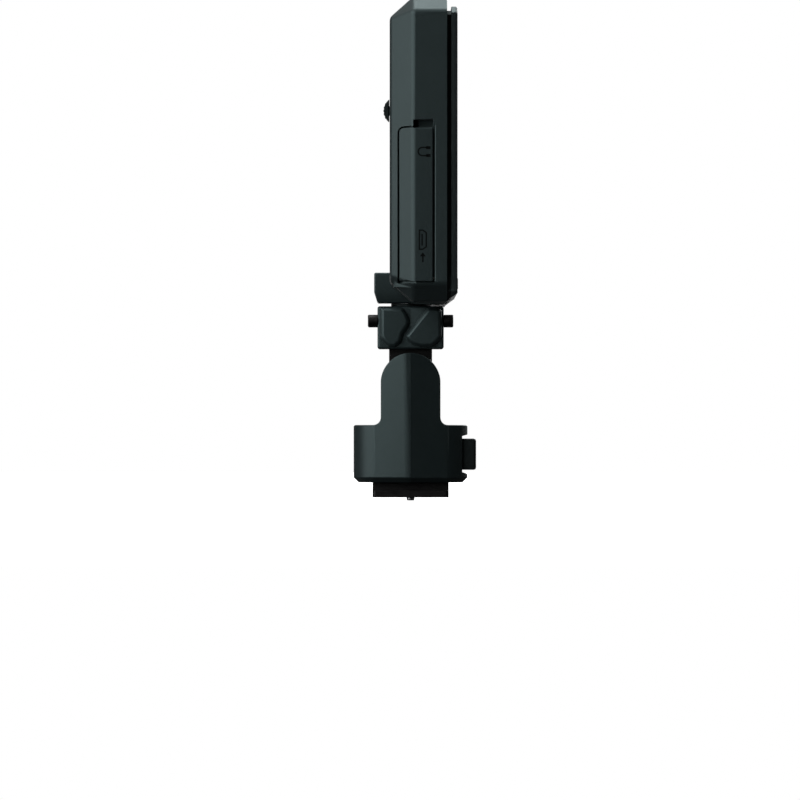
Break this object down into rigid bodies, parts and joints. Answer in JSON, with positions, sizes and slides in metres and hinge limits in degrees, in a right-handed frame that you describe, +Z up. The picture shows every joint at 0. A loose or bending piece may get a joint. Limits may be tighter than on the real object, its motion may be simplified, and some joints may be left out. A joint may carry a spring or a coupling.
{
  "type": "camera field monitor",
  "caption": "Slim widescreen field monitor on a swivelling hinge block and tilting forked foot that slides into a camera's accessory shoe.",
  "frame": {"origin": "centre of the shoe plate's underside", "axes": "+Z up out of the shoe, -Y the way the screen faces, +X to the screen viewer's right"},
  "size_m": [0.14, 0.037, 0.1491],
  "materials": {
    "case_plastic": "satin",
    "foot_plastic": "satin",
    "block_plastic": "satin",
    "bezel_plastic": "satin",
    "black_plastic": "matte",
    "key_plastic": "satin",
    "screen_glass": "polished",
    "display": "gloss",
    "steel": "brushed",
    "spring_steel": "brushed",
    "black_steel": "satin black",
    "brass": "plated",
    "circuit_board": "solder mask",
    "chip": "matte",
    "flex_film": "film",
    "battery": "satin"
  },
  "bodies": {
    "foot": {"foot_shell_rear": "foot_plastic", "foot_shell_front": "foot_plastic", "foot_screws": "black_steel", "base_plate": "steel", "shoe_plate": "black_steel", "shoe_screws": "steel", "tilt_pin": "steel", "friction_washers": "spring_steel", "button_spring": "spring_steel"},
    "release_button": {"release_button": "black_plastic", "button_slider": "black_plastic"},
    "lock_pin": {"lock_pin": "steel", "cross_pin": "steel"},
    "hinge_block": {"tilt_bracket": "black_steel", "block_shell_front": "block_plastic", "block_shell_rear": "block_plastic", "block_bolts": "black_steel", "block_nuts": "black_steel", "swivel_washer": "spring_steel"},
    "monitor": {"swivel_post": "steel", "swivel_boss": "case_plastic", "boss_screws": "steel", "rear_cover": "case_plastic", "mid_frame": "black_plastic", "front_bezel": "bezel_plastic", "screen_glass": "screen_glass", "display_panel": "display", "chassis_plate": "steel", "chassis_screws": "steel", "case_screws": "black_steel", "main_board": "circuit_board", "board_standoffs": "brass", "board_screws": "steel", "board_chips": "chip", "panel_flex": "flex_film", "jack_board": "circuit_board", "headphone_jack": "black_plastic", "video_socket": "steel", "cover_pin": "steel", "battery_pack": "battery", "battery_contacts": "brass", "door_pin": "steel", "latch_spring": "spring_steel", "key_board": "circuit_board", "key_switches": "brass"},
    "terminal_cover": {"terminal_cover": "case_plastic"},
    "battery_door": {"battery_door": "case_plastic"},
    "battery_latch": {"battery_latch": "black_plastic"},
    "key_power": {"key_power": "key_plastic"},
    "key_menu": {"key_menu": "key_plastic"},
    "key_back": {"key_back": "key_plastic"},
    "key_minus": {"key_minus": "key_plastic"},
    "key_plus": {"key_plus": "key_plastic"}
  },
  "joints": [
    {"name": "tilt", "type": "hinge", "parent": "foot", "child": "hinge_block", "pos_m": [0, 0, 0.0352], "axis": [1, 0, 0], "range_deg": [-70, 70]},
    {"name": "swivel", "type": "hinge", "parent": "hinge_block", "child": "monitor", "pos_m": [0, 0, 0.0577], "axis": [0, 0, 1], "range_deg": [-90, 90]},
    {"name": "button_press", "type": "slide", "parent": "foot", "child": "release_button", "axis": [0, 1, 0], "range_m": [0, 0.0015], "stiffness_N_per_m": 800, "springref_m": -0.001, "deforming": ["button_spring"]},
    {"name": "pin_lift", "type": "slide", "parent": "foot", "child": "lock_pin", "axis": [0, 0, 1], "range_m": [0, 0.0012]},
    {"name": "cover_hinge", "type": "hinge", "parent": "monitor", "child": "terminal_cover", "pos_m": [-0.0692, 0, 0.065], "axis": [0, -1, 0], "range_deg": [0, 95]},
    {"name": "door_hinge", "type": "hinge", "parent": "monitor", "child": "battery_door", "pos_m": [0, 0.00525, 0.0723], "axis": [-1, 0, 0], "range_deg": [0, 90]},
    {"name": "latch_slide", "type": "slide", "parent": "monitor", "child": "battery_latch", "axis": [0, 0, 1], "range_m": [0, 0.0025], "stiffness_N_per_m": 300, "springref_m": -0.001, "deforming": ["latch_spring"]},
    {"name": "power_press", "type": "slide", "parent": "monitor", "child": "key_power", "axis": [0, 1, 0], "range_m": [0, 0.0004], "stiffness_N_per_m": 400, "springref_m": -0.0004},
    {"name": "menu_press", "type": "slide", "parent": "monitor", "child": "key_menu", "axis": [0, 1, 0], "range_m": [0, 0.0004], "stiffness_N_per_m": 400, "springref_m": -0.0004},
    {"name": "back_press", "type": "slide", "parent": "monitor", "child": "key_back", "axis": [0, 1, 0], "range_m": [0, 0.0004], "stiffness_N_per_m": 400, "springref_m": -0.0004},
    {"name": "minus_press", "type": "slide", "parent": "monitor", "child": "key_minus", "axis": [0, 1, 0], "range_m": [0, 0.0004], "stiffness_N_per_m": 400, "springref_m": -0.0004},
    {"name": "plus_press", "type": "slide", "parent": "monitor", "child": "key_plus", "axis": [0, 1, 0], "range_m": [0, 0.0004], "stiffness_N_per_m": 400, "springref_m": -0.0004}
  ],
  "couplings": [
    {"joint": "pin_lift", "follows": "button_press", "ratio": 0.8}
  ]
}
